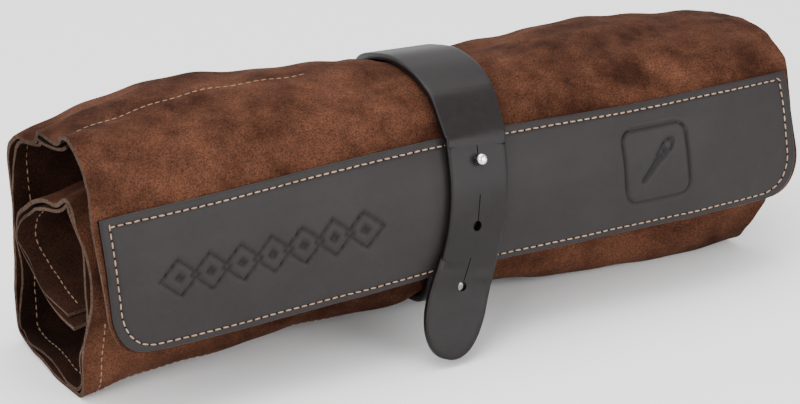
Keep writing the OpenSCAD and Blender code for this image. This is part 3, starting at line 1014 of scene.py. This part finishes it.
def plate(name, outline, holes, gridStep, place, materials):
    inset = 0.9
    points, edges = [], []

    def addLoop(loop):
        first = len(points)
        points.extend(loop)
        edges.extend((first + k, first + (k + 1) % len(loop)) for k in range(len(loop)))

    addLoop(outline)
    for hole in holes:
        addLoop(hole)
    border = len(points)
    xs, ys = [p[0] for p in outline], [p[1] for p in outline]
    edgeLine = np.array(outline)
    holeLines = [np.array(h) for h in holes]

    def distance(px, py, line):
        following = np.roll(line, -1, axis=0)
        return float(segment(px, py, line[:, 0], line[:, 1], following[:, 0], following[:, 1]).min())

    def inside(px, py, line):
        following = np.roll(line, -1, axis=0)
        crosses = (line[:, 1] > py) != (following[:, 1] > py)
        run, climb = following[:, 0] - line[:, 0], following[:, 1] - line[:, 1]
        at = run * (py - line[:, 1]) / (climb + 1e-12) + line[:, 0]
        return bool((crosses & (px < at)).sum() % 2)

    for ring in (0.3, inset):
        for k in range(len(outline)):
            ax, ay = outline[k - 1]
            bx, by = outline[(k + 1) % len(outline)]
            length = math.hypot(bx - ax, by - ay)
            px = outline[k][0] - (by - ay) / length * ring
            py = outline[k][1] + (bx - ax) / length * ring
            if inside(px, py, edgeLine):
                points.append((px, py))
    y = min(ys) + gridStep
    while y < max(ys):
        x = min(xs) + gridStep
        while x < max(xs):
            if inside(x, y, edgeLine) and distance(x, y, edgeLine) > inset + 0.5 * gridStep:
                if all(not inside(x, y, h) and distance(x, y, h) > 0.35 * gridStep for h in holeLines):
                    points.append((x, y))
            x += gridStep
        y += gridStep
    flat, _, faces, origin, _, _ = delaunay_2d_cdt([Vector(p) for p in points], edges, [], 1, 1e-5)
    coords = np.array([tuple(v) for v in flat])
    keep = []
    for face in faces:
        centre = coords[list(face)].mean(axis=0)
        inHole = any(inside(centre[0], centre[1], h) for h in holeLines)
        if inside(centre[0], centre[1], edgeLine) and not inHole:
            keep.append(tuple(face))
    longLine = np.array([(px, py - 6 if py < min(ys) + 0.5 else py) for px, py in outline])
    drop = rimDrop(np.array([distance(px, py, longLine) for px, py in coords]))
    isHole = np.array([any(len(outline) <= o < border for o in owners) for owners in origin])
    drop = np.where(isHole, 0.12, drop)
    topPoints = place(coords[:, 1], coords[:, 0], strapShape["thick"] - drop)
    lowPoints = place(coords[:, 1], coords[:, 0], drop * 0.6)
    count = len(coords)
    used = {}
    for face in keep:
        for k in range(len(face)):
            used[(face[k], face[(k + 1) % len(face)])] = True
    rim = [(a, b) for (a, b) in used if (b, a) not in used]
    under = [tuple(v + count for v in reversed(f)) for f in keep]
    allFaces = keep + under + [(b, a, a + count, b + count) for a, b in rim]
    mesh = bpy.data.meshes.new(name)
    mesh.from_pydata((np.concatenate([topPoints, lowPoints]) * mm).tolist(), [], allFaces)
    for material in materials:
        mesh.materials.append(material)
    slots = [0] * len(keep) + [1] * len(keep) + [2] * len(rim)
    mesh.polygons.foreach_set("material_index", np.array(slots, np.int32))
    finishMesh(mesh)
    return link(name, mesh)


def makeStrapEnd():
    start = strapLengthAt(strapShape["endStart"])
    finish = strapLengths[-1]
    half = strapShape["width"] / 2
    studAt = strapLengthAt(studShape["knot"])
    tip = finish - 1.0
    outline = [(half, y) for y in np.arange(start, tip - 26, 1.6)]
    tongue = 26.0
    for a in np.linspace(0, math.pi, 34):
        c = math.cos(a)
        outline.append((half * np.sign(c) * abs(c) ** 0.86, tip - tongue + tongue * math.sin(a) ** 0.92))
    outline += [(-half, y) for y in np.arange(tip - 27.2, start + 0.4, -1.6)]
    outline += [(-half + k * half / 6, start) for k in range(0, 12)]
    holes = [keyholeLoop(studAt + k * strapShape["pitch"]) for k in range(3)]
    return plate("strapEnd", outline, holes, 2.2, lambda length, w, lift: strapPoint(length, w, lift)[0],
                 [strapLeather, leatherFlesh, leatherEdge])


strapEnd = makeStrapEnd()
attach(strapEnd, "strap_end")
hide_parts("strap_front", "strap_tail")
print("strap made")

def turned(name, profile, place, out, material, segments=40):
    axis = Vector(out).normalized()
    side = axis.orthogonal().normalized()
    third = axis.cross(side)
    verts, faces = [], []
    for r, h in profile:
        for k in range(segments):
            a = 2 * math.pi * k / segments
            verts.append(Vector(place) + (axis * h + (side * math.cos(a) + third * math.sin(a)) * r) * mm)
    for i in range(len(profile) - 1):
        for k in range(segments):
            n = (k + 1) % segments
            low, high = i * segments, (i + 1) * segments
            faces.append((low + k, low + n, high + n, high + k))
    faces.append(tuple(reversed(range(segments))))
    faces.append(tuple((len(profile) - 1) * segments + k for k in range(segments)))
    mesh = bpy.data.meshes.new(name)
    mesh.from_pydata([tuple(v) for v in verts], [], faces)
    mesh.materials.append(material)
    finishMesh(mesh, 0.55)
    return link(name, mesh)


def studProfile():
    neck, head = studShape["neck"], studShape["head"]
    top = strapShape["thick"] + 0.5
    collar, tall = studShape["collar"], studShape["tall"]
    profile = [(collar, -0.9), (collar, -0.35), (collar - 0.3, -0.15), (neck, -0.1), (neck, top)]
    profile.append((neck + 0.2, top + 0.25))
    profile += [(head * math.cos(a), top + tall * (1 + math.sin(a))) for a in np.linspace(-0.85, 1.02, 12)]
    profile += [(0.9, top + 1.9 * tall), (0.3, top + 1.92 * tall)]
    return profile


studAt = strapLengthAt(studShape["knot"])
studPlace, studOut = strapPoint(np.array(studAt), np.array(0.0), np.array(0.0))
studButton = turned("studButton", studProfile(), tuple(studPlace * mm), tuple(studOut), metal)
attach(studButton, "flap")
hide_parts("stud_button")
screwProfile = [(1.2, -2.0), (1.2, -4.9), (4.2, -4.9), (4.5, -5.2), (4.4, -5.7), (3.6, -6.0), (0.5, -6.15)]
studScrew = turned("studScrew", screwProfile, tuple(studPlace * mm), tuple(studOut), metal)
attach(studScrew, "flap")
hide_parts("stud_screw")


def rivetProfile():
    thick, sheet = strapShape["thick"], rollShape["sheet"]
    front = [(4.2, 0), (4.35, 0.3), (3.9, 0.8), (2.4, 1.15), (0.4, 1.25)]
    back = [(0.4, -2.0), (2.4, -1.9), (3.9, -1.5), (4.3, -1.0), (4.2, -0.7), (1.5, -0.6)]
    profile = [(r, h - sheet) for r, h in back]
    return profile + [(1.5, thick - 0.1)] + [(r, thick + h) for r, h in front]


def makeRivets():
    pieces = []
    for k, s in enumerate((0.8, 2.4)):
        place, out = strapPoint(np.array(strapLengthAt(s)), np.array(0.0), np.array(0.0))
        pieces.append(turned(f"rivet{k}", rivetProfile(), tuple(place * mm), tuple(out), metal, 28))
    work = bmesh.new()
    for piece in pieces:
        work.from_mesh(piece.data)
    mesh = bpy.data.meshes.new("strapRivets")
    work.to_mesh(mesh)
    work.free()
    mesh.materials.append(metal)
    for piece in pieces:
        bpy.data.objects.remove(piece)
    return link("strapRivets", mesh)


rivets = makeRivets()
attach(rivets, "roll")
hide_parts("strap_rivets")
print("metal made")
